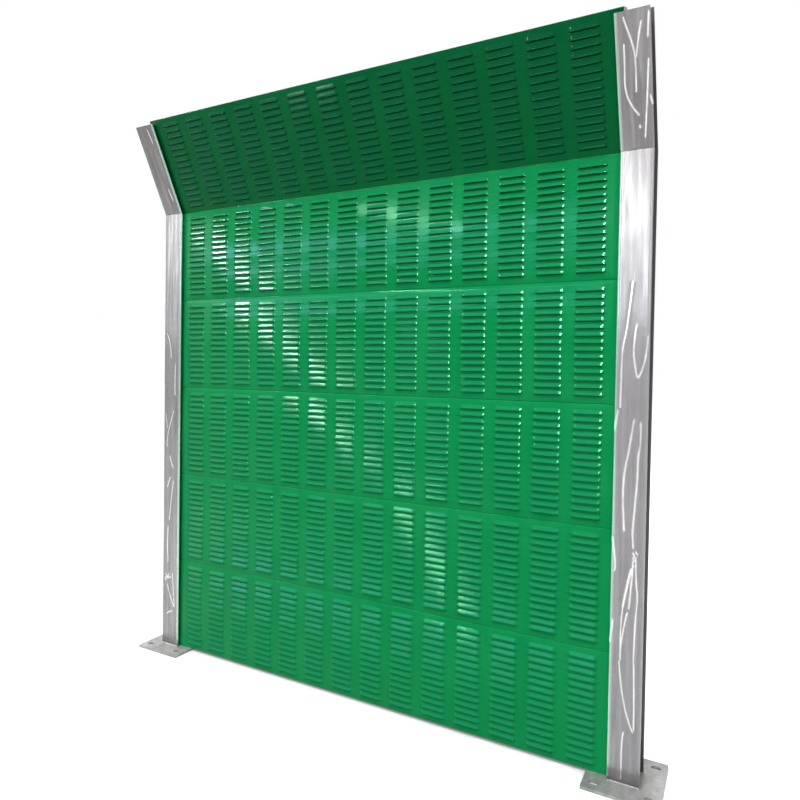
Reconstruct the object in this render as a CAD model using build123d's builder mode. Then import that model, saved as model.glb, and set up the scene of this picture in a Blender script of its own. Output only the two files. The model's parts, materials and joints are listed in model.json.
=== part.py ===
"""One bay of a roadside noise barrier, in millimetres.

Two galvanised H-posts stand on slotted base plates.  Each post ends in a mitre and carries an arm
that leans out over the road side.  Louvred panels drop into the channels between the posts, one on
top of the other, and one more of the same panels lies in the channels of the arms.

Frame: X runs along the wall, -Y is the louvred road side and Z is up.  The origin is the centre of
the underside of the left base plate.
"""

from build123d import *
from math import cos, radians, sin, sqrt, tan
import os

# ---- driving dimensions -------------------------------------------------------------------------
section_width = 125.0        # H-section, along the wall
section_depth = 125.0        # H-section, through the wall
flange_thickness = 9.0
web_thickness = 6.5
root_radius = 8.0

plate_size = 300.0           # square base plate
plate_thickness = 12.0
bolt_edge = 45.0             # from the edges of a plate to the centres of its slots
slot_length = 40.0
slot_width = 22.0
weld_leg = 6.0

arm_lean = 25.0              # degrees from upright, towards the road

panel_rows = 5               # upright panels in the stack
panel_length = 2500.0
panel_height = 500.0
panel_play = 13.5            # between a panel and the flanges, in front and behind
end_play = 26.75             # between the end of a panel and the web
seat_gap = 0.1               # between the leaning panel and the stack it stands on

sheet_thickness = 1.0
bend_radius = 3.0            # outside radius of the folds in the louvred sheet
lap_width = 25.0             # flanges of the back sheet, inside the louvred sheet
cap_flange = 25.0            # rim of each end cap, inside both sheets
wool_clearance = 1.0         # between the wool and the rims of the end caps

louvre_length = 118.0        # where the hood leaves the sheet
louvre_end_taper = 8.0       # the lip is shorter than that by this much at each end
louvre_height = 18.0
louvre_depth = 8.0
column_pitch = 170.0
row_pitch = 30.3
top_margin = 43.0            # from the top of a panel to its first louvre mouth
bottom_margin = 30.0         # least height left plain below the last mouth
end_margin = 80.0            # least length left plain at each end

film_thickness = 0.5         # clear protective film on the road side of posts and arms
film_foot_gap = 8.0          # bare steel between the weld and the film

# ---- sizes that follow --------------------------------------------------------------------------
channel_depth = section_depth - 2 * flange_thickness
channel_width = (section_width - web_thickness) / 2
panel_thickness = channel_depth - 2 * panel_play
post_spacing = panel_length + web_thickness + 2 * end_play
bolt_spacing = plate_size - 2 * bolt_edge

louvre_columns = int((panel_length - 2 * end_margin - louvre_length) / column_pitch) + 1
louvre_rows = int((panel_height - top_margin - bottom_margin) / row_pitch) + 1
mouth_grid_centre = panel_height - top_margin - (louvre_rows - 1) * row_pitch / 2

lean = radians(arm_lean)
front_flange_y = -section_depth / 2
panel_face_y = -panel_thickness / 2          # panels stand in the middle of the channels
stack_top = plate_thickness + panel_rows * panel_height
fold_below_axis = -panel_face_y * tan(lean / 2)
mitre_height = stack_top + fold_below_axis   # on the axis of a post
arm_reach = panel_height - fold_below_axis   # the arm ends level with the panel it carries
film_foot = plate_thickness + weld_leg + film_foot_gap

post_places = {"left": 0.0, "right": post_spacing}


def mitre_plane(x):
    """The plane in which a post and its arm meet: it halves the angle between them."""
    return Plane((x, 0, mitre_height), x_dir=(1, 0, 0), z_dir=(0, -sin(lean / 2), cos(lean / 2)))


def arm_plane(x):
    """A plane square to the arm, where the axes of the post and the arm meet."""
    return Plane((x, 0, mitre_height), x_dir=(1, 0, 0), z_dir=(0, -sin(lean), cos(lean)))


os.makedirs("parts", exist_ok=True)

# ---- sections that posts, arms, welds and film share --------------------------------------------
with BuildSketch() as h_section:
    Rectangle(section_width, section_depth)
    with GridLocations(section_width, 0, 2, 1):
        Rectangle(2 * channel_width, channel_depth, mode=Mode.SUBTRACT)
    web_roots = h_section.vertices().filter_by(lambda corner: abs(corner.X) < web_thickness)
    fillet(web_roots, radius=root_radius)

with BuildSketch() as film_section:
    with Locations((0, front_flange_y - film_thickness)):
        Rectangle(
            section_width + 2 * film_thickness,
            flange_thickness + film_thickness,
            align=(Align.CENTER, Align.MIN),
        )
    with Locations((0, front_flange_y)):
        Rectangle(
            section_width, flange_thickness, align=(Align.CENTER, Align.MIN), mode=Mode.SUBTRACT
        )

with BuildSketch() as weld_section:
    Polygon((0, 0), (weld_leg, 0), (0, weld_leg), align=None)

# ---- base plates, posts, arms -------------------------------------------------------------------
for side, x in post_places.items():
    with BuildPart() as base_plate:
        with BuildSketch(Plane((x, 0, 0))):
            Rectangle(plate_size, plate_size)
            with GridLocations(bolt_spacing, bolt_spacing, 2, 2):
                SlotOverall(slot_length, slot_width, mode=Mode.SUBTRACT)
        extrude(amount=plate_thickness)
    base_plate.part.label = f"{side}_base_plate"
    export_step(base_plate.part, f"parts/{side}_base_plate.step")

    with BuildPart() as post:
        with BuildSketch(Plane((x, 0, plate_thickness))):
            add(h_section.sketch)
        extrude(amount=mitre_height + section_depth - plate_thickness)
        split(bisect_by=mitre_plane(x), keep=Keep.BOTTOM)
    post.part.label = f"{side}_post"
    export_step(post.part, f"parts/{side}_post.step")

    with BuildPart() as arm:
        with BuildSketch(arm_plane(x).offset(-section_depth)):
            add(h_section.sketch)
        extrude(amount=section_depth + arm_reach)
        split(bisect_by=mitre_plane(x), keep=Keep.TOP)
    arm.part.label = f"{side}_arm"
    export_step(arm.part, f"parts/{side}_arm.step")

    # fillet welds along the outside of both flanges and along both faces of the web
    with BuildPart() as foot_weld:
        for turn in (0, 180):
            post_foot = Plane((x, 0, plate_thickness)).rotated((0, 0, turn))
            with BuildSketch(post_foot * Plane.YZ.offset(-section_width / 2)):
                with Locations((front_flange_y, 0)):
                    add(weld_section.sketch, rotation=90)
            extrude(amount=section_width)
            web_length = channel_depth - 2 * root_radius
            with BuildSketch(post_foot * Plane.XZ.offset(-web_length / 2)):
                with Locations((web_thickness / 2, 0)):
                    add(weld_section.sketch)
            extrude(amount=web_length)
    foot_weld.part.label = f"{side}_foot_weld"
    export_step(foot_weld.part, f"parts/{side}_foot_weld.step")

    with BuildPart() as post_film:
        with BuildSketch(Plane((x, 0, film_foot))):
            add(film_section.sketch)
        extrude(amount=mitre_height + section_depth - film_foot)
        split(bisect_by=mitre_plane(x), keep=Keep.BOTTOM)
    post_film.part.label = f"{side}_post_film"
    export_step(post_film.part, f"parts/{side}_post_film.step")

    with BuildPart() as arm_film:
        with BuildSketch(arm_plane(x).offset(-section_depth)):
            add(film_section.sketch)
        extrude(amount=section_depth + arm_reach)
        split(bisect_by=mitre_plane(x), keep=Keep.TOP)
    arm_film.part.label = f"{side}_arm_film"
    export_step(arm_film.part, f"parts/{side}_arm_film.step")

# ---- one louvred panel, from the middle of the bottom edge of its face --------------------------
# A hood is drawn as it leaves the sheet: X along the sheet, Y up it and Z out of it.  Its side view
# gives the slope and its plan view the tapered ends; the mouth looks down.
with BuildPart() as hood:
    with BuildSketch(Plane.YZ.offset(-louvre_length / 2)):
        Polygon((0, 0), (louvre_height, 0), (0, louvre_depth), align=None)
    extrude(amount=louvre_length)
    with BuildSketch(Plane.XZ.offset(-louvre_height)):
        Polygon(
            (-louvre_length / 2, 0),
            (louvre_length / 2, 0),
            (louvre_length / 2 - louvre_end_taper, louvre_depth),
            (louvre_end_taper - louvre_length / 2, louvre_depth),
            align=None,
        )
    extrude(amount=louvre_height, mode=Mode.INTERSECT)

with BuildPart() as louvred_sheet:
    with BuildSketch(Plane.YZ.offset(-panel_length / 2)) as folded_sheet:
        Rectangle(panel_thickness - sheet_thickness, panel_height, align=Align.MIN)
        fillet(folded_sheet.vertices().group_by(Axis.X)[0], radius=bend_radius)
        with BuildSketch(mode=Mode.PRIVATE) as inside:
            with Locations((sheet_thickness, sheet_thickness)):
                Rectangle(panel_thickness, panel_height - 2 * sheet_thickness, align=Align.MIN)
            fillet(inside.vertices().group_by(Axis.X)[0], radius=bend_radius - sheet_thickness)
        add(inside.sketch, mode=Mode.SUBTRACT)
    extrude(amount=panel_length)
    with Locations(Plane.XZ * Location((0, mouth_grid_centre, 0))):
        with GridLocations(column_pitch, row_pitch, louvre_columns, louvre_rows):
            add(hood.part)

with BuildPart() as back_sheet:
    with BuildSketch(Plane.YZ.offset(-panel_length / 2)):
        with Locations((panel_thickness - sheet_thickness, 0)):
            Rectangle(sheet_thickness, panel_height, align=Align.MIN)
        with Locations((panel_thickness - sheet_thickness, panel_height / 2)):
            with GridLocations(0, panel_height - 3 * sheet_thickness, 1, 2):
                Rectangle(lap_width, sheet_thickness, align=(Align.MAX, Align.CENTER))
    extrude(amount=panel_length)

# an end cap is a shallow tray inside both sheets, open towards the middle of the panel, and its
# front corners are cut off to clear the folds of the louvred sheet
cap_width = panel_thickness - 2 * sheet_thickness
cap_height = panel_height - 4 * sheet_thickness
with BuildPart() as left_cap:
    with BuildSketch(Plane.YZ.offset(-panel_length / 2)) as cap_outline:
        with Locations((panel_thickness / 2, panel_height / 2)):
            Rectangle(cap_width, cap_height)
        front_corners = cap_outline.vertices().group_by(Axis.X)[0]
        chamfer(front_corners, length=bend_radius - sheet_thickness)
    extrude(amount=cap_flange)
    offset(amount=-sheet_thickness, openings=left_cap.faces().sort_by(Axis.X)[-1])

with BuildPart() as right_cap:
    add(left_cap.part)
    mirror(about=Plane.YZ, mode=Mode.REPLACE)

# the wool is pressed between the end caps
wool_inset = 2 * (sheet_thickness + wool_clearance)
with BuildPart() as wool:
    with Locations((0, panel_thickness / 2, panel_height / 2)):
        Box(panel_length - 2 * sheet_thickness, cap_width - wool_inset, cap_height - wool_inset)

panel_pieces = {
    "louvred_sheet": louvred_sheet,
    "back_sheet": back_sheet,
    "left_cap": left_cap,
    "right_cap": right_cap,
    "wool": wool,
}

# ---- six panels in their places -----------------------------------------------------------------
bay_middle = post_spacing / 2
panel_seats = {
    f"panel_{row + 1}": Location((bay_middle, panel_face_y, plate_thickness + row * panel_height))
    for row in range(panel_rows)
}

# The leaning panel slides down the arms until the fold under its face meets the fold at the top of
# the stack.  Both folds are cylinders, so they touch when their axes are two radii apart.
down_slope = Vector(0, sin(lean), -cos(lean))
upright_fold = Vector(0, bend_radius, -bend_radius)
leaning_fold = Vector(0, bend_radius, bend_radius).rotate(Axis.X, arm_lean)
between_folds = leaning_fold - upright_fold
along = -between_folds.dot(down_slope)
touching = 2 * bend_radius + seat_gap
slide_down = along - sqrt(along**2 - between_folds.dot(between_folds) + touching**2)
leaning_seat = Vector(bay_middle, panel_face_y, stack_top) + down_slope * slide_down
panel_seats["leaning_panel"] = Location(leaning_seat, (arm_lean, 0, 0))

for panel, seat in panel_seats.items():
    for piece_name, piece in panel_pieces.items():
        with BuildPart() as placed:
            with Locations(seat):
                add(piece.part)
        placed.part.label = f"{panel}_{piece_name}"
        export_step(placed.part, f"parts/{panel}_{piece_name}.step")
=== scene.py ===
# %% [markdown]
# # One bay of a roadside noise barrier
#
# Two galvanised H-posts stand on base plates.  Louvred green panels lie on top of each other
# between them, and one more panel leans out over the road between the two arms.  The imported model
# holds every piece at its real size.  This lesson gives the pieces their looks: pressed louvres,
# paint, zinc, weld beads, and the clear film that still covers the posts.

import json
from math import cos, pi, radians, sin, tan

import bmesh
import bpy
from mathutils import Matrix, Vector

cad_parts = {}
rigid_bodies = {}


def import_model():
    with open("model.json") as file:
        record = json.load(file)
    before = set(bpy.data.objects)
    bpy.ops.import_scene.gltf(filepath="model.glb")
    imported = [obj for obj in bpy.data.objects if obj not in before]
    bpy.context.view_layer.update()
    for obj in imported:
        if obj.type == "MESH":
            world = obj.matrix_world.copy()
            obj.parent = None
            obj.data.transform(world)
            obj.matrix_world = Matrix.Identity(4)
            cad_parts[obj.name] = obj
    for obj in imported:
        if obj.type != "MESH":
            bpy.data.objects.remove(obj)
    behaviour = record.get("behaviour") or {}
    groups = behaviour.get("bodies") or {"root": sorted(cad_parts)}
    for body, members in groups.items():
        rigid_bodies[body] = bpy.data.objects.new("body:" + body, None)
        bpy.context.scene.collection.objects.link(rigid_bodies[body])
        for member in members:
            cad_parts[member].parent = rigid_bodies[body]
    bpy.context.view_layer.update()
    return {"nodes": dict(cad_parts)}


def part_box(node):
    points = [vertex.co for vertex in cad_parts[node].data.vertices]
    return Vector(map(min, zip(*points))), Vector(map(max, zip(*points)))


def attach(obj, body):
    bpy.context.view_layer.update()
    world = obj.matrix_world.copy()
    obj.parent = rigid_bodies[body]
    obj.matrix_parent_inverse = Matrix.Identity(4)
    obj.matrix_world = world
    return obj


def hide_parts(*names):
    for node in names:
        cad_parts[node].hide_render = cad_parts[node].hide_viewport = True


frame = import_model()
print("the packed model has", len(frame["nodes"]), "nodes")

# %% [markdown]
# ## Sizes
#
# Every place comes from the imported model, so that the looks follow it if a length changes.  Only
# the lean of the arms and the thicknesses of the steel aren't given by any box.

# %% Sizes read from the model
MM = 0.001
lean = radians(25)

post_low, post_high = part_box("left_post")
back_low, back_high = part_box("panel_1_back_sheet")
plate_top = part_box("left_base_plate")[1].z
arm_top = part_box("left_arm")[1].z

half_section = (post_high.x - post_low.x) / 2
flange_thickness = 9 * MM
web_thickness = 6.5 * MM
root_radius = 8 * MM
weld_leg = 6 * MM

panel_length = back_high.x - back_low.x
panel_height = back_high.z - back_low.z
panel_thickness = 2 * back_high.y
row_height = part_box("panel_2_back_sheet")[0].z - back_low.z      # from a panel to the next

mitre_height = post_high.z - half_section * tan(lean / 2)
arm_reach = (arm_top - mitre_height - half_section * sin(lean)) / cos(lean)
post_places = {
    side: (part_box(f"{side}_post")[0].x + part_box(f"{side}_post")[1].x) / 2
    for side in ("left", "right")
}
panels = [f"panel_{row}" for row in range(1, 6)] + ["leaning_panel"]
print(f"panels {panel_length:.3f} x {panel_height:.3f} x {panel_thickness:.3f} m")
print(f"mitre at {mitre_height:.4f} m, arms reach {arm_reach:.4f} m past it")

# %% [markdown]
# The wool slab is a plain block in the middle of its panel.  So the middle of its box is the middle
# of the panel, whether the panel leans or not, and the panel can be turned about it.


# %% Where a panel stands
def panel_place(panel):
    """Takes a panel drawn from the middle of its front bottom edge to its place in the bay."""
    low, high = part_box(f"{panel}_wool")
    middle = Matrix.Translation((low + high) / 2)
    turn = Matrix.Rotation(lean if panel == "leaning_panel" else 0, 4, "X")
    return middle @ turn @ Matrix.Translation((0, -panel_thickness / 2, -panel_height / 2))


# %% [markdown]
# ## The camera
#
# It stands where a person would, two and a half metres in front of the right-hand post, and looks
# at the bay from its right end.  The turns are named one by one, because a camera that is built
# from its heading, its tilt and its roll is easier to read than a matrix.


# %% Camera
def add_object(name, data):
    thing = bpy.data.objects.new(name, data)
    bpy.context.scene.collection.objects.link(thing)
    return thing


heading = radians(26.521)       # turned from +Y towards the left end of the bay
tilt = radians(-1.057)
roll = radians(0.982)

camera_data = bpy.data.cameras.new("camera")
camera_data.lens = 27.405
camera_data.sensor_width = 36
camera_data.shift_x = -0.0441
camera_data.shift_y = -0.0239
camera = add_object("camera", camera_data)
camera.matrix_world = (
    Matrix.Translation((2.9351, -2.5349, 1.6398))
    @ Matrix.Rotation(heading, 4, "Z")
    @ Matrix.Rotation(pi / 2 + tilt, 4, "X")
    @ Matrix.Rotation(roll, 4, "Z")
)
bpy.context.scene.camera = camera
print("the camera stands", round(-camera.matrix_world.translation.y, 2), "m in front of the wall")


# %% [markdown]
# ## Writing node trees as sentences
#
# A node tree is a sum written in boxes.  One small class wraps an output and lets Python's own
# signs add the Math nodes, so that a mask is written as a formula.  One method adds every other
# node: it takes the node's type, the values or links of its inputs, and its settings, which are
# set first.


# %% The helper for node trees
def sign(operation):
    """A Python sign that adds a Math node."""
    return lambda first, second: first.bench.maths(operation, first, second)


class Wire:
    """One output of a node.  Plus, minus, times, divide and compare add Math nodes to its tree."""

    __add__ = __radd__ = sign("ADD")
    __mul__ = __rmul__ = sign("MULTIPLY")
    __sub__ = sign("SUBTRACT")
    __truediv__ = sign("DIVIDE")
    __pow__ = sign("POWER")
    __gt__ = sign("GREATER_THAN")
    __lt__ = sign("LESS_THAN")
    least = sign("MINIMUM")
    most = sign("MAXIMUM")

    def __init__(self, bench, socket):
        self.bench = bench
        self.socket = socket

    def __rsub__(self, other):
        return self.bench.maths("SUBTRACT", other, self)

    def __abs__(self):
        return self.bench.maths("ABSOLUTE", self)

    def also(self, output):
        """Another output of the same node."""
        return Wire(self.bench, self.socket.node.outputs[output])


# %% The bench that a tree is built on
class Bench:
    """A node tree that is being built."""

    def __init__(self, tree):
        self.tree = tree

    def add(self, kind, inputs=None, output=0, **settings):
        node = self.tree.nodes.new(kind)
        for name, value in settings.items():
            setattr(node, name, value)
        for name, value in (inputs or {}).items():
            self.join(value, node.inputs[name])
        return Wire(self, node.outputs[output]) if node.outputs else node

    def maths(self, operation, *values):
        return self.add("ShaderNodeMath", dict(enumerate(values)), operation=operation)

    def join(self, value, socket):
        if isinstance(value, Wire):
            self.tree.links.new(value.socket, socket)
        elif isinstance(value, (list, tuple)) and len(value) == 3 and socket.type == "RGBA":
            socket.default_value = (*value, 1)
        else:
            socket.default_value = value

    def blend(self, factor, first, second):
        """One colour over another."""
        return self.add("ShaderNodeMix", {0: factor, 6: first, 7: second}, 2, data_type="RGBA")

    def vector(self, x=0.0, y=0.0, z=0.0):
        return self.add("ShaderNodeCombineXYZ", {0: x, 1: y, 2: z})

    def parts(self, vector):
        """The three numbers of a vector."""
        split = self.add("ShaderNodeSeparateXYZ", {0: vector})
        return split, split.also(1), split.also(2)


# %% [markdown]
# ## Materials
#
# Each finish is one function.  All of them read Object coordinates, in metres, so a pattern has
# its real size and no piece needs a UV map.


# %% Material helpers
def new_material(name):
    """A material with a Principled shader, the bench to build it on, and its shader."""
    material = bpy.data.materials.new(name)
    material.use_nodes = True
    bench = Bench(material.node_tree)
    shader = next(n for n in material.node_tree.nodes if n.type == "BSDF_PRINCIPLED")
    return material, bench, shader


def noise(bench, place, scale, detail=2.0, roughness=0.5, stretch=(1, 1, 1)):
    """Noise from 0 to 1 whose blotches are about 1 / scale metres across."""
    moved = bench.add("ShaderNodeVectorMath", {0: place, 1: stretch}, operation="MULTIPLY")
    wanted = {"Vector": moved, "Scale": scale, "Detail": detail, "Roughness": roughness}
    return bench.add("ShaderNodeTexNoise", wanted)


def ramp(bench, value, low, high, start=0.0, end=1.0):
    """Runs smoothly from start to end while the value goes from low to high."""
    wanted = {"Value": value, "From Min": low, "From Max": high, "To Min": start, "To Max": end}
    return bench.add("ShaderNodeMapRange", wanted, interpolation_type="SMOOTHSTEP")


def bump(bench, shader, height, distance, strength=1.0):
    """Makes the light see a height from 0 to 1 as a relief of this many metres."""
    wanted = {"Height": height, "Distance": distance, "Strength": strength}
    bench.join(bench.add("ShaderNodeBump", wanted), shader.inputs["Normal"])


# %% [markdown]
# ### Green powder coat
#
# Powder coat is a thick, even and very glossy skin of plastic, baked on after the sheet is
# pressed.  It has a faint orange peel, a film of road dust that dulls it in soft patches, and
# hardly any change of colour.  An image could be wrapped round each sheet, but a formula has no
# seams and stays sharp.  So the colour moves by a few percent, and most of the detail is in the
# roughness.  The pressed hoods get a painted shade, a slightly darker and greyer green that
# evens out the light their tilted faces catch.  The seams between the upright panels get a
# painted dark line for the shade in their groove, and streaky darkening a little past them.


# %% Green powder coat
def green_paint(name, colour, dusty=1.0, hoods=False, seams=False):
    """Gloss paint, with painted shade on the pressed hoods and at the seams if asked."""
    material, bench, shader = new_material(name)
    place = bench.add("ShaderNodeTexCoord", output="Object")
    cloud = noise(bench, place, 3.5, detail=4)
    speckle = noise(bench, place, 260, detail=2)
    peel = noise(bench, place, 900, detail=1)
    streak = noise(bench, place, 30, detail=3, stretch=(1, 1, 0.08))

    dull = ramp(bench, cloud * 0.6 + streak * 0.4, 0.42, 0.62) * dusty
    darker = tuple(0.9 * part for part in colour)
    dusted = tuple(0.97 * part + 0.006 for part in colour)
    tone = bench.blend(ramp(bench, cloud, 0.3, 0.7), darker, colour)
    tone = bench.blend(dull * 0.5 + speckle * 0.1, tone, dusted)
    if hoods:
        hood = bench.add("ShaderNodeAttribute", attribute_name="hood", output="Fac")
        # painted shade: the hood faces get a darker, greyer green that evens out the light they
        # catch
        tone = bench.blend(hood * (0.75 + cloud * 0.3), tone, HOOD_SHADE_GREEN)
    if seams:
        # painted shade: a dark line in each seam's groove, and streaky darkening up to 30 mm past
        # it
        height = bench.parts(place)[2] - back_low.z
        from_seam = bench.maths("PINGPONG", height, row_height / 2)
        upright = ramp(bench, height, 4.9 * row_height, 4.95 * row_height, 1, 0)
        line = ramp(bench, from_seam, 1.5 * MM, 4 * MM, 1, 0) * (0.6 + streak * 0.5)
        soft = ramp(bench, from_seam, 0, 30 * MM, 1, 0) * streak * 0.25
        tone = bench.blend((line + soft) * upright, tone, SEAM_DARKENING)
    bench.join(tone, shader.inputs["Base Color"])
    bench.join(0.08 + dull * 0.06 + speckle * 0.015, shader.inputs["Roughness"])
    shader.inputs["Specular IOR Level"].default_value = 0.1
    shader.inputs["Specular Tint"].default_value = (*GREEN_SHINE, 1)
    bump(bench, shader, peel, 0.03 * MM, 0.5)
    return material


# painted shade for the pressed hoods
HOOD_SHADE_GREEN = (0.006, 0.2, 0.07)
# painted shade in the seams between the upright panels, and the streaky darkening beside them
SEAM_DARKENING = (0.003, 0.04, 0.016)
GREEN_SHINE = (0.2, 0.6, 0.36)
louvre_green = green_paint("green_louvred_sheet", (0.002, 0.236, 0.066), hoods=True)
back_green = green_paint("green_back_sheet", (0.002, 0.225, 0.06), dusty=1.3, seams=True)
cap_green = green_paint("green_end_cap", (0.002, 0.2, 0.052))
print("green paint for", louvre_green.name, back_green.name, cap_green.name)


# %% [markdown]
# ### Hot-dip galvanising
#
# Zinc freezes on steel in flat crystals, the spangle.  On structural steel they are small and
# faint: each one has its own shade and its own gloss.  An image of them would repeat on a long
# post, so each crystal is a Voronoi cell.  Runs of duller zinc follow the way that the piece was
# lifted out of the bath, which is along its length.  The base plates lie where rain stands, and
# their zinc has turned dull and mottled.


# %% Galvanised steel
def galvanised(name, tone, roughness, spangle=9 * MM, turn=0.0, mottled=1.0, metal=1.0):
    """Zinc with crystals of one size, its runs turned by an angle, and less metal where dull."""
    material, bench, shader = new_material(name)
    place = bench.add("ShaderNodeTexCoord", output="Object")
    place = bench.add("ShaderNodeMapping", {"Vector": place, "Rotation": (turn, 0, 0)})
    warp = noise(bench, place, 60, detail=3)
    bent = bench.add("ShaderNodeVectorMath", {0: place, 1: warp}, operation="ADD")
    wanted = {"Vector": bent, "Scale": 1 / spangle, "Randomness": 1.0}
    crystal = bench.add("ShaderNodeTexVoronoi", wanted, output="Color")
    shade, gloss, _ = bench.parts(crystal)
    runs = noise(bench, place, 22, detail=4, stretch=(1, 1, 0.06))
    patch = noise(bench, place, 5, detail=5, roughness=0.6)
    grain = noise(bench, place, 700, detail=2)

    light = tuple(min(1, (1 + 0.12 * mottled) * part) for part in tone)
    dark = tuple((1 - 0.2 * mottled) * part for part in tone)
    level = shade * 0.16 + runs * 0.5 + patch * 0.44
    bench.join(bench.blend(ramp(bench, level, 0.3, 0.8), dark, light), shader.inputs["Base Color"])
    shader.inputs["Metallic"].default_value = metal
    rough = roughness - 0.06 + gloss * 0.07 + runs * 0.08 + grain * 0.03
    bench.join(rough, shader.inputs["Roughness"])
    bump(bench, shader, shade * 0.3 + grain * 0.7, 0.05 * MM, 0.6)
    return material


post_zinc = galvanised("galvanised_post", (0.21, 0.202, 0.212), 0.38)
# painted shade: the leaning arms are the same zinc as the posts, in a darker tone for the light
# their down-turned faces miss
arm_zinc_shaded = galvanised("galvanised_arm", (0.13, 0.123, 0.122), 0.36, turn=-lean)
plate_zinc = galvanised(
    "galvanised_plate", (0.4, 0.4, 0.39), 0.5, spangle=14 * MM, mottled=2, metal=0.55
)
weld_zinc = galvanised("weld", (0.4, 0.4, 0.39), 0.42, spangle=5 * MM)
print("zinc for", post_zinc.name, arm_zinc_shaded.name, plate_zinc.name, weld_zinc.name)


# %% [markdown]
# ### Mineral wool
#
# The slab behind the louvres soaks up the noise.  It shows only as a dull fibrous ground inside
# their mouths.  Its green-grey is painted light: the green that the sheets round it throw into
# the mouths.  Real fibres would be thousands of hairs that nobody can see in there, and noise
# that is stretched in two directions reads as matted fibre.


# %% Mineral wool
def wool_finish(name):
    material, bench, shader = new_material(name)
    place = bench.add("ShaderNodeTexCoord", output="Object")
    along = noise(bench, place, 420, detail=4, roughness=0.7, stretch=(0.12, 1, 1))
    across = noise(bench, place, 380, detail=4, roughness=0.7, stretch=(1, 1, 0.15))
    fibre = along * 0.5 + across * 0.5
    # painted reflection: the wool's green stands for light thrown in by the green sheets round it
    tone = bench.blend(ramp(bench, fibre, 0.35, 0.65), (0.03, 0.12, 0.06), (0.08, 0.2, 0.11))
    bench.join(tone, shader.inputs["Base Color"])
    shader.inputs["Roughness"].default_value = 0.95
    shader.inputs["Specular IOR Level"].default_value = 0.1
    bump(bench, shader, fibre, 0.6 * MM, 1.0)
    return material


wool = wool_finish("mineral_wool")
print("wool ready:", wool.name)

# %% [markdown]
# ### Which piece gets which finish
#
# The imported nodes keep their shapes, and their names end with the kind of piece they are.  So one
# table gives every node its finish, and a new panel would get its finishes without another line.

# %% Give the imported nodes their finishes
finish_of_piece = {
    "base_plate": plate_zinc,
    "post": post_zinc,
    "arm": arm_zinc_shaded,
    "louvred_sheet": louvre_green,
    "back_sheet": back_green,
    "left_cap": cap_green,
    "right_cap": cap_green,
    "wool": wool,
}
for name, node in frame["nodes"].items():
    for ending, material in finish_of_piece.items():
        if name.endswith(ending):
            node.data.materials.clear()
            node.data.materials.append(material)
print("finishes set on the packed nodes")


# %% [markdown]
# ## Making a mesh from a Geometry Nodes tree
#
# A tree gets named inputs, so that its sizes can be read on the modifier.  The modifier works on
# an empty mesh, the result is copied out as a plain mesh, and the modifier goes.  What is left is
# an ordinary object at the origin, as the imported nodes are.


# %% Helpers for Geometry Nodes
class Recipe:
    """A Geometry Nodes tree with named inputs: lengths, counts and objects."""

    def __init__(self, name, lengths, counts="", objects=""):
        self.tree = bpy.data.node_groups.new(name, "GeometryNodeTree")
        self.bench = Bench(self.tree)
        self.identifiers = {}
        shape = self.tree.interface
        for labels, kind in ((lengths, "Float"), (counts, "Int"), (objects, "Object")):
            for label in labels.split():
                socket = shape.new_socket(label, socket_type=f"NodeSocket{kind}")
                self.identifiers[label] = socket.identifier
        shape.new_socket("Geometry", in_out="OUTPUT", socket_type="NodeSocketGeometry")
        self.entry = self.tree.nodes.new("NodeGroupInput")

    def __getitem__(self, label):
        return Wire(self.bench, self.entry.outputs[label])

    def serve(self, geometry, material):
        """Ends the tree with a real, smooth mesh in one material."""
        real = self.bench.add("GeometryNodeRealizeInstances", {0: geometry})
        smooth = self.bench.add("GeometryNodeSetShadeSmooth", {0: real}, domain="FACE")
        done = self.bench.add("GeometryNodeSetMaterial", {0: smooth, "Material": material})
        exit_node = self.tree.nodes.new("NodeGroupOutput")
        self.tree.links.new(done.socket, exit_node.inputs[0])

    def make(self, name, **values):
        """The plain mesh that the tree gives for these values."""
        maker = add_object(name, bpy.data.meshes.new(name))
        modifier = maker.modifiers.new("recipe", "NODES")
        modifier.node_group = self.tree
        for label, value in values.items():
            modifier[self.identifiers[label]] = value
        depsgraph = bpy.context.evaluated_depsgraph_get()
        mesh = bpy.data.meshes.new_from_object(maker.evaluated_get(depsgraph))
        bpy.data.objects.remove(maker)
        mesh.name = name
        return mesh


def show(name, mesh, place=None):
    """A finished piece: its place is in its mesh, and its object sits at the origin."""
    if place is not None:
        mesh.transform(place)
    return add_object(name, mesh)


def store(bench, geometry, name, value, kind, domain):
    """Keeps a value on the mesh under a name, for the materials and later steps to read."""
    wanted = {"Geometry": geometry, "Name": name, "Value": value}
    return bench.add("GeometryNodeStoreNamedAttribute", wanted, data_type=kind, domain=domain)


# %% [markdown]
# ## Louvred sheets
#
# On the real panel a press cuts a slit in the flat blank and pushes the metal above it out into a
# hood, 210 times, and a brake then folds the top and bottom edges back.  The tree does the same in
# the same order.  One tile is a grid whose lines bunch up where the metal bends.  Two of its rows
# lie on the slit: the lower one stays in the sheet and the upper one becomes the lip, and the faces
# between them go, so the mouth is open.  The tile is repeated, the plain margins are drawn out of
# the field's edges, and a formula folds the blank.
#
# A Boolean or an Array modifier could do it too, but neither gives even faces round 210 mouths.
# A pressed face also bows out a little between its folds, in some panels more than in others.

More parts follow.
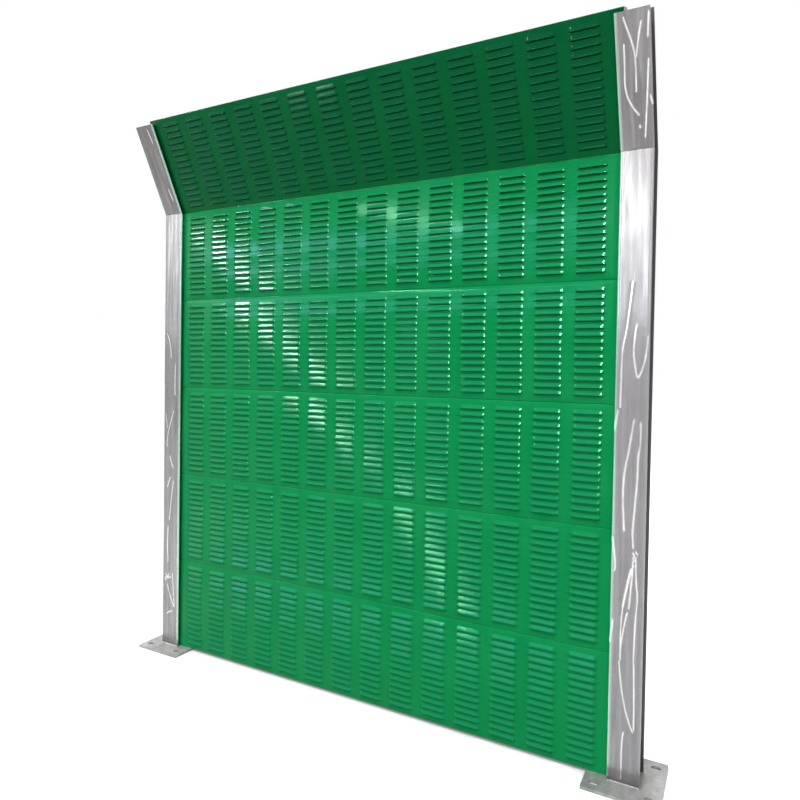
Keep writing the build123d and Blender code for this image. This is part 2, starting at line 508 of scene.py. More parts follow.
# %% Sizes of the louvres
louvre_columns = 14
louvre_rows = 15
column_pitch = 170 * MM
row_pitch = 30.3 * MM
louvre_length = 118 * MM
louvre_height = 18 * MM
louvre_depth = 8 * MM
first_mouth = 32.8 * MM          # from the bottom of the panel
sheet_thickness = 1 * MM
bend_radius = 3 * MM
mouth_middle = first_mouth + (louvre_rows - 1) * row_pitch / 2 - panel_height / 2
fold_line = panel_height / 2 - bend_radius
return_depth = panel_thickness - sheet_thickness - bend_radius
waviness = 0.7 * MM
crown = {                        # how far the middle of a face bows out
    "panel_1": 5.5 * MM,
    "panel_2": 0.6 * MM,
    "panel_3": 6.5 * MM,
    "panel_4": 7.5 * MM,
    "panel_5": 6.5 * MM,
    "leaning_panel": 0.4 * MM,
}
print(louvre_columns * louvre_rows, f"louvres a sheet, each {louvre_length:.3f} m long")

# %% The grid of one tile, with every line's number kept
TILE_COLUMNS = 9                 # faces along a tile
TILE_ROWS = 8                    # faces up a tile, with the row that the mouth removes
LIP_ROW = 2                      # the line that becomes the lip
TOP_ROW = TILE_ROWS - 1          # the line where the hood runs out into the sheet

recipe = Recipe(
    "louvred_sheet",
    "Louvre_length Louvre_height Louvre_depth Column_pitch Row_pitch Mouth_middle Half_length "
    "Half_height Fold_line Bend_radius Return_depth Crown Waviness Seed",
    counts="Columns Rows",
)
bench = recipe.bench
grid = bench.add("GeometryNodeMeshGrid", {
    "Size X": TILE_COLUMNS,
    "Size Y": TILE_ROWS,
    "Vertices X": TILE_COLUMNS + 1,
    "Vertices Y": TILE_ROWS + 1,
})
place = bench.add("GeometryNodeInputPosition")
numbered = bench.add("GeometryNodeCaptureAttribute", {0: grid})
numbered.socket.node.capture_items.new("VECTOR", "number")
bench.join(place, numbered.socket.node.inputs[1])
number_x, number_y, _ = bench.parts(numbered.also(1))
row = number_y + TILE_ROWS / 2   # 0 at the foot of the tile

# %% Where the lines go along the sheet: close together towards the ends of the hood
last_hood_column = (TILE_COLUMNS - 2) / 2
CROWDING = 3                     # how fast the lines draw together
in_hood = abs(number_x) < last_hood_column + 0.5
side = bench.maths("SIGN", number_x)
share = side * (1 - (1 - abs(number_x) / last_hood_column).most(0.0) ** CROWDING)
tile_x = in_hood * share * recipe["Louvre_length"] * 0.5
tile_x = tile_x + (1 - in_hood) * side * recipe["Column_pitch"] * 0.5

# the end of a hood is a rounded cheek: full depth in the middle, none at the end of the slit
END_SQUARENESS = 20
END_HEIGHT = 0.4                 # a hood's height at its very end, as a share of the whole
cheek = (1 - (abs(share).least(1.0)) ** END_SQUARENESS).most(0.0) ** 0.5
rise = recipe["Louvre_height"] * (END_HEIGHT + cheek * (1 - END_HEIGHT))

# %% Where the lines go up the sheet: close together at the lip, which rolls to face straight out
LIP_CROWDING = 1.5
up = ((row - LIP_ROW) / (TOP_ROW - LIP_ROW)).most(0.0).least(1.0) ** LIP_CROWDING
in_rise = (row > LIP_ROW - 0.5) * (row < TOP_ROW + 0.5)
spare = (recipe["Row_pitch"] - recipe["Louvre_height"]) * 0.5
tile_y = in_rise * up * rise
tile_y = tile_y + (row > TOP_ROW + 0.5) * (recipe["Louvre_height"] + spare)
tile_y = tile_y - (row < 0.5) * spare

LIP_ROLL = 0.3                   # share of the hood's height over which the lip rolls
rolled = 1 - up * up / (LIP_ROLL * (2 - LIP_ROLL))
straight = (1 - up) * (2 / (2 - LIP_ROLL))
near_lip = up < LIP_ROLL
slope = near_lip * rolled + (1 - near_lip) * straight
tile_z = in_rise * in_hood * slope * cheek * recipe["Louvre_depth"]

# %% Shape the tile, open its mouth and mark its hood
shaped = bench.add("GeometryNodeSetPosition", {
    "Geometry": numbered,
    "Position": bench.vector(tile_x, tile_y, tile_z),
})
is_mouth = abs(row - (LIP_ROW - 0.5)) < 0.25
opened = bench.add("GeometryNodeDeleteGeometry", {0: shaped, "Selection": is_mouth}, domain="FACE")
hood_face = (row > LIP_ROW) * (row < TOP_ROW) * in_hood
marked = store(bench, opened, "hood", hood_face, "FLOAT", "FACE")
CHEEK_COLUMNS = 1.9              # the outer two faces at each end of a hood
cheek_face = hood_face * (abs(number_x) > last_hood_column - CHEEK_COLUMNS)
tile = store(bench, marked, "pressed_part", hood_face + cheek_face, "INT", "FACE")

# %% The field of louvres
SAME_PLACE = 0.02 * MM           # corners of neighbouring tiles that are closer than this are one
NEAR = 0.1 * MM                  # how exactly an edge of the blank is looked for
points = bench.add("GeometryNodeMeshGrid", {
    "Size X": (recipe["Columns"] - 1) * recipe["Column_pitch"],
    "Size Y": (recipe["Rows"] - 1) * recipe["Row_pitch"],
    "Vertices X": recipe["Columns"],
    "Vertices Y": recipe["Rows"],
})
copies = bench.add("GeometryNodeInstanceOnPoints", {"Points": points, "Instance": tile})
field = bench.add("GeometryNodeRealizeInstances", {0: copies})
lifted = bench.add("GeometryNodeSetPosition", {
    "Geometry": field,
    "Offset": bench.vector(0, recipe["Mouth_middle"], 0),
})
blank = bench.add("GeometryNodeMergeByDistance", {0: lifted, "Distance": SAME_PLACE})

# %% The plain margins: draw the edges of the blank out
x, y, z = bench.parts(bench.add("GeometryNodeInputPosition"))
x_side = bench.maths("SIGN", x)
y_side = bench.maths("SIGN", y)
faces_here = bench.add("GeometryNodeInputMeshEdgeNeighbors")
on_rim = faces_here < 1.5


def draw_out(sheet, edges, offset):
    """Draws the chosen edges of the blank out in its own plane."""
    wanted = {"Mesh": sheet, "Selection": edges, "Offset": offset, "Offset Scale": 1.0}
    return bench.add("GeometryNodeExtrudeMesh", wanted, mode="EDGES")


half_field = recipe["Columns"] * recipe["Column_pitch"] * 0.5
end_edges = on_rim * (abs(x) > half_field - NEAR)
to_end = bench.vector(x_side * recipe["Half_length"] - x, 0, 0)
blank = draw_out(blank, end_edges, to_end)

# the long edges: up to the fold, round it in four steps, and back along the return
FOLD_STEPS = 4
arc = recipe["Bend_radius"] * (pi / 2)
steps = [recipe["Fold_line"]]
steps += [recipe["Fold_line"] + arc * (k / FOLD_STEPS) for k in range(1, FOLD_STEPS + 1)]
steps += [recipe["Fold_line"] + arc + recipe["Return_depth"]]
upper = bench.add("GeometryNodeAttributeStatistic", {
    "Geometry": blank,
    "Attribute": y,
}, output="Max", data_type="FLOAT", domain="POINT")
lower = upper.also("Min")
for step in steps:
    rim = on_rim * ((y > upper - NEAR) + (y < lower + NEAR))
    blank = draw_out(blank, rim, bench.vector(0, y_side * step - y, 0))
    upper = step
    lower = step * -1

# %% Bow the face out: most in the middle, and not at all at the folds and the two ends
crowned = 1 - (y / recipe["Half_height"]).least(1.0).most(-1.0) ** 2
END_STIFFNESS = 16               # how close to the ends the face still bows
crowned = crowned * (1 - (x / recipe["Half_length"]) ** END_STIFFNESS).most(0.0)
WAVES_ALONG, WAVES_UP, NEXT_SHEET = 2.2, 3.5, 7.3  # slow waves, about two a metre
ripple_place = bench.vector(x * WAVES_ALONG, y * WAVES_UP, recipe["Seed"] * NEXT_SHEET)
ripple = bench.add("ShaderNodeTexNoise", {"Vector": ripple_place, "Scale": 1.0, "Detail": 1.0})
flatness = z + crowned * (recipe["Crown"] + (ripple - 0.5) * recipe["Waviness"] * 2)

# %% Fold the long edges back, and keep the hoods' edges crisp
angle = ((abs(y) - recipe["Fold_line"]) / recipe["Bend_radius"]).most(0.0).least(pi / 2)
sine = bench.maths("SINE", angle)
cosine = bench.maths("COSINE", angle)
height = abs(y).least(recipe["Fold_line"]) + recipe["Bend_radius"] * sine
run = (abs(y) - recipe["Fold_line"] - arc).most(0.0)
depth = recipe["Bend_radius"] * (1 - cosine) + run - flatness
folded = bench.add("GeometryNodeSetPosition", {
    "Geometry": blank,
    "Position": bench.vector(x, depth, recipe["Half_height"] + y_side * height),
})
part = bench.add("GeometryNodeInputNamedAttribute", {"Name": "pressed_part"}, data_type="INT")
crease = bench.add("GeometryNodeMeshFaceSetBoundaries", {0: part})
creased = bench.add("GeometryNodeSetShadeSmooth",
                    {0: folded, "Selection": crease, "Shade Smooth": False}, domain="EDGE")
recipe.serve(creased, louvre_green)
print("the tree for a sheet has", len(recipe.tree.nodes), "nodes")

# %% Press one sheet for each panel
louvred_sizes = dict(
    Louvre_length=louvre_length, Louvre_height=louvre_height, Louvre_depth=louvre_depth,
    Columns=louvre_columns, Rows=louvre_rows, Column_pitch=column_pitch, Row_pitch=row_pitch,
    Mouth_middle=mouth_middle, Half_length=panel_length / 2, Half_height=panel_height / 2,
    Fold_line=fold_line, Bend_radius=bend_radius, Return_depth=return_depth, Waviness=waviness,
)
for number, panel in enumerate(panels):
    mesh = recipe.make(f"{panel}_pressed_sheet", Seed=float(number), Crown=crown[panel],
                       **louvred_sizes)
    sheet = show(f"{panel}_pressed_sheet", mesh, panel_place(panel))
    wall = sheet.modifiers.new("wall", "SOLIDIFY")
    wall.thickness = sheet_thickness
    wall.offset = -1
    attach(sheet, "root")
    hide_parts(f"{panel}_louvred_sheet")
    print(sheet.name, len(mesh.polygons), "faces")

# %% [markdown]
# ## Weld beads
#
# A fillet weld joins each post to its plate: outside both flanges and on both sides of the web.
# A welder moves the torch in small steps, and each step leaves a ripple.  A bead could be
# sculpted, but a tree can make all eight from a straight curve: the ripple goes into the curve's
# radius, and a tube is drawn along it.  Half of the tube is inside the steel, and the quarter that
# shows is a full fillet.

# %% The tree for a bead
STEPS_PER_RIPPLE = 5
ripple_pitch = 3.2 * MM
recipe = Recipe("weld_bead", "Length Leg Pitch Seed")
bench = recipe.bench
line = bench.add("GeometryNodeCurvePrimitiveLine", {
    "Start": bench.vector(recipe["Length"] * -0.5, 0, 0),
    "End": bench.vector(recipe["Length"] * 0.5, 0, 0),
})
fine_line = bench.add("GeometryNodeResampleCurve", {
    "Curve": line,
    "Count": recipe["Length"] / recipe["Pitch"] * STEPS_PER_RIPPLE,
})
along = bench.add("GeometryNodeSplineParameter", output="Length")
beat = bench.maths("SINE", along / recipe["Pitch"] * pi)
uneven = bench.add("ShaderNodeTexNoise", {
    "Vector": bench.vector(along, recipe["Seed"] * 3.1, 0),
    "Scale": 90.0,
    "Detail": 2.0,
})
girth = recipe["Leg"] * (0.72 + abs(beat) * 0.2 + uneven * 0.16)
swelling = bench.add("GeometryNodeSetCurveRadius", {"Curve": fine_line, "Radius": girth})
section = bench.add("GeometryNodeCurvePrimitiveCircle", {"Resolution": 12, "Radius": 1.0})
tube = bench.add("GeometryNodeCurveToMesh", {
    "Curve": swelling,
    "Profile Curve": section,
    "Scale": girth,
    "Fill Caps": True,
})
recipe.serve(tube, weld_zinc)

# %% Lay the four beads of each post
flange_bead = 2 * half_section
web_bead = 2 * (half_section - flange_thickness - root_radius)
quarter_turn = Matrix.Rotation(pi / 2, 4, "Z")
for number, (side, post_x) in enumerate(post_places.items()):
    foot = Matrix.Translation((post_x, 0, plate_top))
    beads = bmesh.new()
    for k, (length, x, y, turn) in enumerate((
        (flange_bead, 0, -half_section, Matrix()),
        (flange_bead, 0, half_section, Matrix()),
        (web_bead, -web_thickness / 2, 0, quarter_turn),
        (web_bead, web_thickness / 2, 0, quarter_turn),
    )):
        bead = recipe.make("bead", Length=length, Leg=weld_leg, Pitch=ripple_pitch,
                           Seed=float(4 * number + k))
        bead.transform(foot @ Matrix.Translation((x, y, 0)) @ turn)
        beads.from_mesh(bead)
        bpy.data.meshes.remove(bead)
    bmesh.ops.recalc_face_normals(beads, faces=beads.faces)
    mesh = bpy.data.meshes.new(f"{side}_weld_beads")
    beads.to_mesh(mesh)
    beads.free()
    mesh.materials.append(weld_zinc)
    welds = show(f"{side}_weld_beads", mesh)
    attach(welds, "root")
    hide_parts(f"{side}_foot_weld")
    print(welds.name, len(mesh.polygons), "faces")

# %% [markdown]
# ## Protective film
#
# The posts and arms are delivered in clear plastic film, stuck over the front flange and round its
# two edges.  Here it has come loose: it stands up in sharp folds where it was pulled, and bulges
# in long soft lenses where air got under it.  A cloth simulation would choose its own places for
# the folds.  So they are drawn as curves on the flat film, and the tree lifts the film near
# them and wraps it round the flange.
#
# A fold is given as points (across, up) in millimetres: across from the middle of the flange, and
# up from the ground for a post, or from the mitre for an arm.

# %% Sharp folds, drawn one by one
sharp_folds = {
    "right_post": [
        [(-25, 500), (-15, 400), (0, 320), (20, 255), (32, 230)],
        [(31, 500), (36, 370), (36, 240)], [(-2, 220), (-7, 200), (-8, 100), (-8, 32)],
        [(-60, 990), (-42, 870), (-50, 857)], [(16, 1000), (19, 955)],
        [(19, 936), (28, 926), (20, 912)], [(26, 908), (15, 897), (22, 886)],
        [(30, 942), (36, 930)], [(14, 872), (5, 820), (-25, 670), (-20, 505)],
        [(2, 695), (-15, 620), (-22, 520)],
        [(30, 920), (32, 820), (42, 760), (32, 670), (30, 505)], [(-52, 660), (-61, 570)],
    ],
    "left_post": [
        [(-42, 392), (-27, 426), (-6, 402)], [(-36, 422), (-15, 384), (2, 412)],
        [(-40, 382), (-20, 406), (-8, 428)], [(-22, 360), (0, 290), (32, 240)],
        [(17, 430), (27, 345), (35, 240)], [(-25, 192), (-5, 206), (17, 212)],
        [(20, 970), (7, 895), (0, 835), (-7, 780), (-12, 740)], [(-5, 990), (-30, 930)],
        [(17, 1375), (-5, 1320), (-22, 1265), (-35, 1210), (-35, 1170)],
        [(-45, 1350), (-38, 1310), (-32, 1280)],
    ],
    "right_arm": [
        [(-30, 468), (-10, 410), (10, 335), (5, 220)], [(30, 445), (17, 390), (10, 335)],
        [(-32, 380), (-32, 310), (-36, 240), (-20, 180), (12, 137)], [(57, 468), (52, 395)],
        [(52, 320), (42, 170), (32, 55)], [(55, 200), (61, 170)],
    ],
    "left_arm": [
        [(18, 470), (26, 400)],
    ],
}

# %% Soft folds
soft_folds = {
    "right_post": [
        [(12, 1455), (-5, 1335), (-22, 1240), (-25, 1145), (-17, 1020)],
        [(37, 1445), (40, 1370), (30, 1320), (30, 1220), (20, 1095), (15, 1005)],
        [(-50, 1490), (-60, 1420)],
        [(-5, 1990), (-17, 1870), (-25, 1795), (-37, 1745), (-40, 1670), (-42, 1505)],
        [(12, 1820), (2, 1740), (10, 1670), (20, 1615), (35, 1640), (55, 1720), (55, 1780)],
        [(14, 872), (-4, 800), (-15, 720)], [(20, 885), (15, 800), (8, 715)],
    ],
    "left_post": [
        [(15, 1050), (2, 1075), (-10, 1110)], [(-40, 1820), (-10, 1770), (-7, 1685)],
        [(30, 1640), (22, 1560), (28, 1470)], [(-20, 700), (-28, 600), (-18, 500)],
    ],
    "right_arm": [
        [(14, 98), (15, 94)],
    ],
    "left_arm": [
        [(28, 150), (34, 90)],
    ],
}

print("folds drawn for", ", ".join(sharp_folds))


# %% Folds as curves
def drawn_curves(name, folds):
    """The folds of one film as smooth curves on the flat film."""
    data = bpy.data.curves.new(name, "CURVE")
    data.dimensions = "3D"
    for fold in folds:
        spline = data.splines.new("NURBS")
        spline.points.add(len(fold) - 1)
        for point, (across, up) in zip(spline.points, fold):
            point.co = (across * MM, up * MM, 0, 1)
        spline.order_u = 3 if len(fold) > 2 else 2
        spline.use_endpoint_u = True
        spline.resolution_u = 8
    return add_object(name, data)


# %% [markdown]
# The film itself is all but invisible: a sharp shine, streaks where it clings, and white lines
# where it is folded.  Glass that bends light would be slow and would hide the zinc.  So it is a
# thin bright skin that is nearly all see-through.  Its folds and the flange's edges are made
# less see-through, so they show as painted glints.  The edge that stands beside the panels gets
# a painted reflection of their green.


# %% Clear film
# painted reflection of the green panels in the film's edge beside them
PAINTED_PANEL_REFLECTION = (0.45, 0.9, 0.66)


def clear_film(name):
    """Film adds a sharp shine, painted glints at its folds, and painted green beside the panels."""
    material, bench, shader = new_material(name)
    place = bench.add("ShaderNodeAttribute", attribute_name="flat_place", output="Vector")
    folded = bench.add("ShaderNodeAttribute", attribute_name="fold", output="Fac")
    streak = noise(bench, place, 60, detail=3, stretch=(1, 0.04, 1))
    cling = noise(bench, place, 14, detail=4, stretch=(1, 0.2, 1))
    grain = noise(bench, place, 150, detail=3, stretch=(1, 0.15, 1))
    # painted glint: the folds turn white and nearly opaque
    white = (folded * (0.6 + grain * 0.8)).least(1.0)
    beside = bench.add("ShaderNodeAttribute", attribute_name="beside_panel", output="Fac")
    tone = bench.blend(cling, (0.86, 0.84, 0.86), (0.93, 0.93, 0.93))
    # painted reflection: the film beside the panels turns green, and less see-through
    tone = bench.blend(beside * 0.9, tone, PAINTED_PANEL_REFLECTION)
    bench.join(tone, shader.inputs["Base Color"])
    shader.inputs["Metallic"].default_value = 1.0
    bench.join(0.1 + cling * 0.12 + white * 0.12, shader.inputs["Roughness"])
    thin = 0.05 + ramp(bench, streak, 0.42, 0.68) * 0.06 + ramp(bench, cling, 0.45, 0.7) * 0.05
    bench.join((thin + white * 0.72 + beside * 0.4).least(1.0), shader.inputs["Alpha"])
    bump(bench, shader, grain, 0.15 * MM, 0.5)
    return material


film = clear_film("film")
print("film ready:", film.name)

# %% The tree for the film, and its flat sheet
recipe = Recipe(
    "film_skin",
    "Width Bottom Top Half_flange Sharp_height Soft_height Sharp_width Soft_width Clearance "
    "Foot_slant Left_edge Right_edge Panel_side Bulge Seed",
    counts="Across Up",
    objects="Sharp_folds Soft_folds",
)
bench = recipe.bench
flat = bench.add("GeometryNodeMeshGrid", {
    "Size X": recipe["Width"],
    "Size Y": recipe["Top"] - recipe["Bottom"],
    "Vertices X": recipe["Across"],
    "Vertices Y": recipe["Up"],
})
flat = bench.add("GeometryNodeSetPosition", {
    "Geometry": flat,
    "Offset": bench.vector(0, (recipe["Top"] + recipe["Bottom"]) * 0.5, 0),
})
spot = bench.add("GeometryNodeInputPosition")
across, up, _ = bench.parts(spot)


# %% How far the film stands off
def distance_to(folds):
    """How far each point of the flat film is from the nearest fold."""
    source = bench.add("GeometryNodeObjectInfo", {"Object": folds}, output="Geometry")
    wire = bench.add("GeometryNodeCurveToMesh", {"Curve": source})
    near = bench.add("GeometryNodeProximity", {0: wire, 2: spot}, output="Distance",
                     target_element="EDGES")
    return near


def film_noise(scale_across, scale_up, seed_step, detail=2.0):
    place = bench.vector(across * scale_across, up * scale_up, recipe["Seed"] * 5.7 + seed_step)
    return bench.add("ShaderNodeTexNoise", {"Vector": place, "Scale": 1.0, "Detail": detail})


EDGE_REACH = 9 * MM              # beside the flange's edges the film stands off as well
EDGE_LIFT = 1.7 * MM
to_sharp = distance_to(recipe["Sharp_folds"])
to_soft = distance_to(recipe["Soft_folds"])
uneven = film_noise(30, 9, 0.0)
tent = (1 - to_sharp / recipe["Sharp_width"]).most(0.0) ** 1.3
lens = (1 - (to_soft / recipe["Soft_width"]) ** 2).most(0.0) ** 2
lift = tent * recipe["Sharp_height"] * (0.45 + uneven) + lens * recipe["Soft_height"]
lift = lift + (film_noise(38, 3.2, 1.3) - 0.35).most(0.0) * recipe["Bulge"]
lift = lift + film_noise(160, 60, 2.6) * 0.3 * MM + recipe["Clearance"]
off_edge = (abs(across) - recipe["Half_flange"]) / EDGE_REACH
lift = lift + (1 - off_edge * off_edge).most(0.0) * EDGE_LIFT


# %% Painted glints: white on a sharp fold, fainter on a soft one and at the edges
def crest_line(distance, half_width):
    """1 on a fold, and less to both sides of it, like a bell."""
    return bench.maths("EXPONENT", (distance / half_width) ** 2 * -1)


# painted glint along the flange's edges, where the film wraps round them
EDGE_LINE = 7 * MM               # half the width of the pale line along the flange's edges
PANEL_REFLECTION_REACH = 14 * MM            # how far the green of the panels shows on the film
crest = crest_line(to_sharp, 2.5 * MM)
crest_soft = crest_line(to_soft, 3.4 * MM)
glint_mark = crest * (0.45 + uneven * 1.1) + crest_soft * (0.4 + film_noise(24, 12, 3.9) * 1.0)
at_edge = (1 - abs((abs(across) - recipe["Half_flange"]) / EDGE_LINE)).most(0.0)
on_right = across > 0
edge_glint_here = on_right * recipe["Right_edge"] + (1 - on_right) * recipe["Left_edge"]
glint_mark = glint_mark + at_edge * edge_glint_here * (0.4 + film_noise(20, 8, 6.1))
marked = store(bench, flat, "fold", glint_mark.least(1.0), "FLOAT", "POINT")
flat_place = bench.vector(across, up, recipe["Seed"])
marked = store(bench, marked, "flat_place", flat_place, "FLOAT_VECTOR", "POINT")
# painted reflection of the green panels, strongest at the film's edge beside them
beside = ((across * recipe["Panel_side"] - recipe["Half_flange"]) / PANEL_REFLECTION_REACH + 1).most(0.0)
marked = store(bench, marked, "beside_panel", beside.least(1.0), "FLOAT", "POINT")

# %% Wrap the film round the flange: a small radius at each edge, then straight back
CORNER = 5 * MM
TEAR = 16 * MM                   # how unevenly the foot of the film is torn
TEAR_REACH = 60 * MM             # how far up from its foot the film is drawn by the tear
side_of = bench.maths("SIGN", across)
straight_part = recipe["Half_flange"] - CORNER
angle = ((abs(across) - straight_part) / CORNER).most(0.0).least(pi / 2)
sine = bench.maths("SINE", angle)
cosine = bench.maths("COSINE", angle)
run = (abs(across) - straight_part - CORNER * pi / 2).most(0.0)
out = abs(across).least(straight_part) + sine * (CORNER + lift)
back = CORNER - cosine * (CORNER + lift) + run
torn = film_noise(55, 0, 4.4, detail=3.0) - 0.5
near_foot = (1 - (up - recipe["Bottom"]) / TEAR_REACH).most(0.0)
foot = near_foot * (torn * TEAR + (0.5 - across / recipe["Width"]) * recipe["Foot_slant"])
wrapped = bench.add("GeometryNodeSetPosition", {
    "Geometry": marked,
    "Position": bench.vector(side_of * out, back, up + foot),
})
recipe.serve(wrapped, film)
print("the tree for the film has", len(recipe.tree.nodes), "nodes")

# %% Sizes of the film
film_width = 145 * MM            # the flange and its two edges
film_foot_gap = 8 * MM
front_mitre = half_section * tan(lean / 2)       # how far the mitre drops at the front flange
film_bottom = plate_top + weld_leg + film_foot_gap
end_gap = 1 * MM
film_ends = {
    "post": (film_bottom, mitre_height - front_mitre - end_gap),
    "arm": (front_mitre + end_gap, arm_reach - end_gap),
}
row_step = 4 * MM                # from one row of the film's points to the next
foot_slant = {"left_post": 34 * MM, "right_post": 3 * MM}
bulge = {                        # how far the film stands off in long soft waves
    "left_post": 0.7 * MM,
    "right_post": 1.8 * MM,
    "left_arm": 0.3 * MM,
    "right_arm": 1.5 * MM,
}
# painted glint along the film's edges, set film by film
edge_glint = {                   # how white it is along its left and its right edge
    "left_post": (0.9, 0.2),
    "right_post": (0.35, 0.1),
    "left_arm": (0.3, 0.1),
    "right_arm": (0.12, 0.1),
}

# %% Stretch the film over the posts and arms
for number, name in enumerate(sharp_folds):
    side, kind = name.split("_")
    bottom, top = film_ends[kind]
    sharp = drawn_curves(f"{name}_sharp_folds", sharp_folds[name])
    soft = drawn_curves(f"{name}_soft_folds", soft_folds[name])
    mesh = recipe.make(
        f"{name}_clear_film", Width=film_width, Bottom=bottom, Top=top, Half_flange=half_section,
        Across=59, Up=int((top - bottom) / row_step), Sharp_folds=sharp, Soft_folds=soft,
        Sharp_height=2.6 * MM, Soft_height=1.6 * MM, Sharp_width=6 * MM, Soft_width=15 * MM,
        Clearance=0.3 * MM, Foot_slant=foot_slant.get(name, 0.0),
        Left_edge=edge_glint[name][0], Right_edge=edge_glint[name][1],
        Panel_side=1.0 if side == "left" else -1.0, Bulge=bulge[name], Seed=float(number),
    )
    place = Matrix.Translation((post_places[side], 0, mitre_height if kind == "arm" else 0))
    if kind == "arm":
        place = place @ Matrix.Rotation(lean, 4, "X")
    skin = show(f"{name}_clear_film", mesh, place @ Matrix.Translation((0, -half_section, 0)))
    for curves in (sharp, soft):
        bpy.data.objects.remove(curves)
    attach(skin, "root")
    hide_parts(f"{name}_film")
    round(top - bottom, 3)
    print(skin.name, len(mesh.polygons), "faces")

# %% [markdown]
# ## Floor, world and lamps
#
# The floor and the world are white where the camera or a reflection sees them, and much darker
# where they light the model.  One white for both would wash the green out, and the Light Path node
# tells the rays apart.  Ambient occlusion draws the soft shade under the plates.


# %% Which rays show the background
def seen_ray(bench):
    """1 for the rays that show the background: straight to the camera, by gloss or through film."""
    ray = bench.add("ShaderNodeLightPath", output="Is Camera Ray")
    return ray.most(ray.also("Is Glossy Ray")).most(ray.also("Is Transmission Ray"))


# %% The floor
WHITE = (1, 1, 1)
floor_shade = 0.2                # its glow under a plate, and what it gains away from it
floor_gain = 0.74
shade_reach = 0.12
floor_material = bpy.data.materials.new("floor")
floor_material.use_nodes = True
floor_bench = Bench(floor_material.node_tree)
floor_material.node_tree.nodes.clear()
lit = floor_bench.add("ShaderNodeBsdfDiffuse", {"Color": (0.14, 0.14, 0.14)})
pale = floor_bench.add("ShaderNodeBsdfDiffuse", {"Color": (0.45, 0.45, 0.45)})
open_sky = floor_bench.add("ShaderNodeAmbientOcclusion", {"Distance": shade_reach},
                           output="AO", samples=8)
glow = floor_bench.add("ShaderNodeEmission", {
    "Color": WHITE,
    "Strength": floor_shade + ramp(floor_bench, open_sky, 0.3, 0.9) * floor_gain,
})
shown = floor_bench.add("ShaderNodeAddShader", {0: pale, 1: glow})
floor_mix = floor_bench.add("ShaderNodeMixShader", {0: seen_ray(floor_bench), 1: lit, 2: shown})
floor_bench.add("ShaderNodeOutputMaterial", {"Surface": floor_mix})

floor_mesh = bpy.data.meshes.new("floor")
shape = bmesh.new()
bmesh.ops.create_grid(shape, x_segments=2, y_segments=2, size=40)
shape.to_mesh(floor_mesh)
shape.free()
floor_mesh.materials.append(floor_material)
floor = add_object("floor", floor_mesh)

# %% The world
world_light = 0.5                # as a lamp, and 1 where it is seen
world = bpy.data.worlds.new("studio")
bpy.context.scene.world = world
world.use_nodes = True
world_bench = Bench(world.node_tree)
background = next(n for n in world.node_tree.nodes if n.type == "BACKGROUND")
background.inputs["Color"].default_value = (1, 1, 1, 1)
world_strength = world_light + seen_ray(world_bench) * (1 - world_light)
world_bench.join(world_strength, background.inputs["Strength"])
print("floor and world ready")

# %% [markdown]
# ### Lamps
#
# A hall has tubes under its roof and windows in its walls, and gloss paint shows them as bright
# lines on every hood.  An image of a hall could light the scene, but none of its lamps could be
# moved alone.  So daylight is a few large soft boxes, and each tube or window in the paint is a
# card that only glossy surfaces see.  Light linking keeps a lamp to the pieces it is for.


# %% Kinds of lamps
def area_lamp(name, size, power, colour=WHITE):
    """A rectangular lamp, size = (width, height) in metres."""
    data = bpy.data.lights.new(name, "AREA")
    data.shape = "RECTANGLE"
    data.size, data.size_y = size
    data.energy = power
    data.color = colour
    return add_object(name, data)


def soft_box(name, place, target, size, power, colour=WHITE):
    """An area lamp that is turned towards its target."""
    lamp = area_lamp(name, size, power, colour)
    lamp.location = place
    lamp.rotation_euler = (Vector(target) - Vector(place)).to_track_quat("-Z", "Y").to_euler()
    return lamp


def strip(name, start, end, width, radiance):
    """A long lamp under the ceiling between two points of the same height."""
    start, end = Vector(start), Vector(end)
    length = (end - start).length
    lamp = area_lamp(name, (width, length), radiance * pi * width * length)
    along = (end - start).normalized()
    lamp.matrix_world = Matrix.Translation((start + end) / 2) @ Matrix((
        (*along.cross(Vector((0, 0, 1))), 0), (*along, 0), (0, 0, 1, 0), (0, 0, 0, 1),
    )).transposed()
    lamp.visible_camera = False
    lamp.visible_diffuse = False
    return lamp


# %% Cards and windows
def card(name, place, target, size, radiance, colour=WHITE):
    """A bright card that only glossy surfaces show."""
    lamp = soft_box(name, place, target, size, radiance * pi * size[0] * size[1], colour)
    lamp.visible_camera = False
    lamp.visible_diffuse = False
    return lamp


def window(name, x_range, z_range, radiance, colour=WHITE):
    """A bright card five metres in front of the bay, which only glossy surfaces show."""
    width = x_range[1] - x_range[0]
    height = z_range[1] - z_range[0]
    place = (sum(x_range) / 2, -5.0, sum(z_range) / 2)
    return card(name, place, (place[0], 0, place[2]), (width, height), radiance, colour)


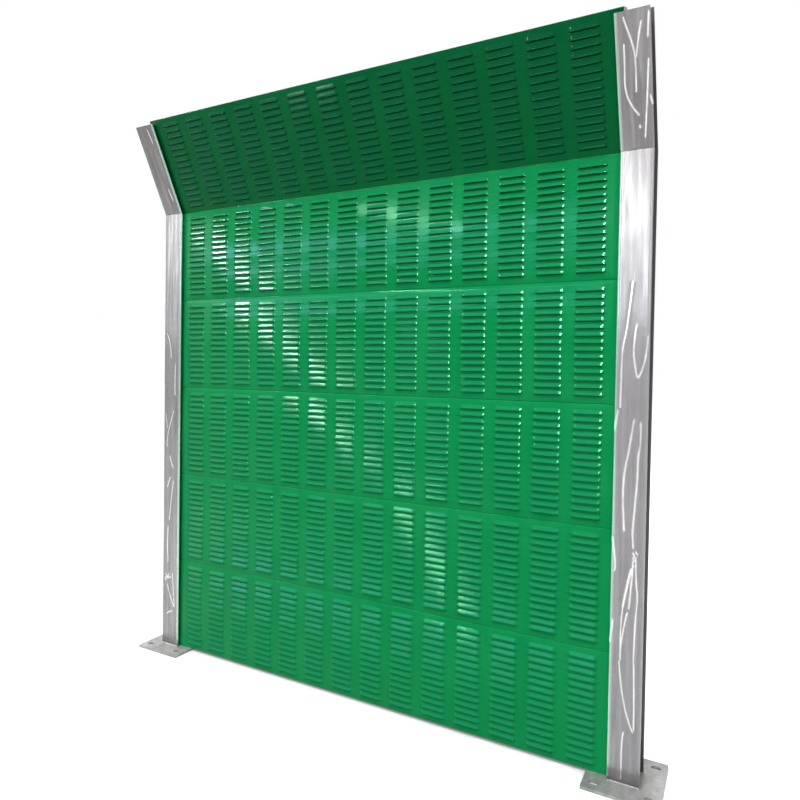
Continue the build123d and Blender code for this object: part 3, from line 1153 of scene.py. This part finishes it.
def only_on(lamp, pieces, state="INCLUDE"):
    """Lets a lamp reach these pieces only, or with "EXCLUDE" all the others."""
    group = bpy.data.collections.new(f"{lamp.name}_pieces")
    for piece in pieces:
        group.objects.link(piece)
        group.collection_objects[-1].light_linking.link_state = state
    lamp.light_linking.receiver_collection = group


# %% The lamps
sheets = [bpy.data.objects[f"{panel}_pressed_sheet"] for panel in panels]
upright_sheets = sheets[:-1]
strip("far_strip", (-7.15, -1.4, 9), (-5.81, -8.7, 9), 0.5, 150)
near_strip = strip("near_strip", (-0.61, -2.9, 3.52), (-0.42, -5.0, 3.52), 0.3, 130)
right_card = card("right_card", (5.0, -1.5, 4.5), (2.3, 0, 2.4), (3.0, 3.2), 190)
only_on(near_strip, upright_sheets)
only_on(right_card, upright_sheets)
key = soft_box("key", (1.2, -5.8, 11.5), (1.2, 0, 1.5), (6, 6.5), 1660)
only_on(key, sheets[-1:], "EXCLUDE")
low_fill = soft_box("low_fill", (1.6, -5.0, 0.4), (1.3, 0, 1.2), (5, 0.8), 95)
only_on(low_fill, upright_sheets)
lean_fill = soft_box("lean_fill", (1.2, -5.5, 3.6), (1.2, -0.15, 2.75), (4, 1), 60)
only_on(lean_fill, sheets[-1:])
back_fill = soft_box("back_fill", (0.2, 8, 8), (1.2, 0, 1.5), (4, 4), 1300)
for lamp in (key, low_fill, lean_fill, back_fill):
    lamp.visible_camera = False
    lamp.visible_glossy = False
SKY = (0.38, 0.46, 1)
high_window = window("high_window", (-5.05, 1.6), (3.35, 3.65), 40, SKY)
low_window = window("low_window", (-4.8, 1.2), (2.85, 3.05), 34, SKY)
only_on(high_window, sheets)
only_on(low_window, sheets)
window("right_window", (1.4, 2.5), (3.35, 3.65), 13, (0.93, 0.97, 1))
window("right_glow", (1.2, 2.6), (3.2, 4.6), 4.4, (1, 1, 0.97))
window("right_low_glow", (1.2, 2.6), (2.3, 3.3), 4.8, (0.93, 0.96, 1))
window("left_low_glow", (-6.6, -5.0), (2.1, 3.2), 2.0)
window("left_glow", (-6.6, -5.0), (3.2, 4.6), 6, (1, 1, 0.97))

# %% [markdown]
# ## The end
#
# The Standard view leaves the colours as they were set.

bpy.context.scene.view_settings.view_transform = "Standard"
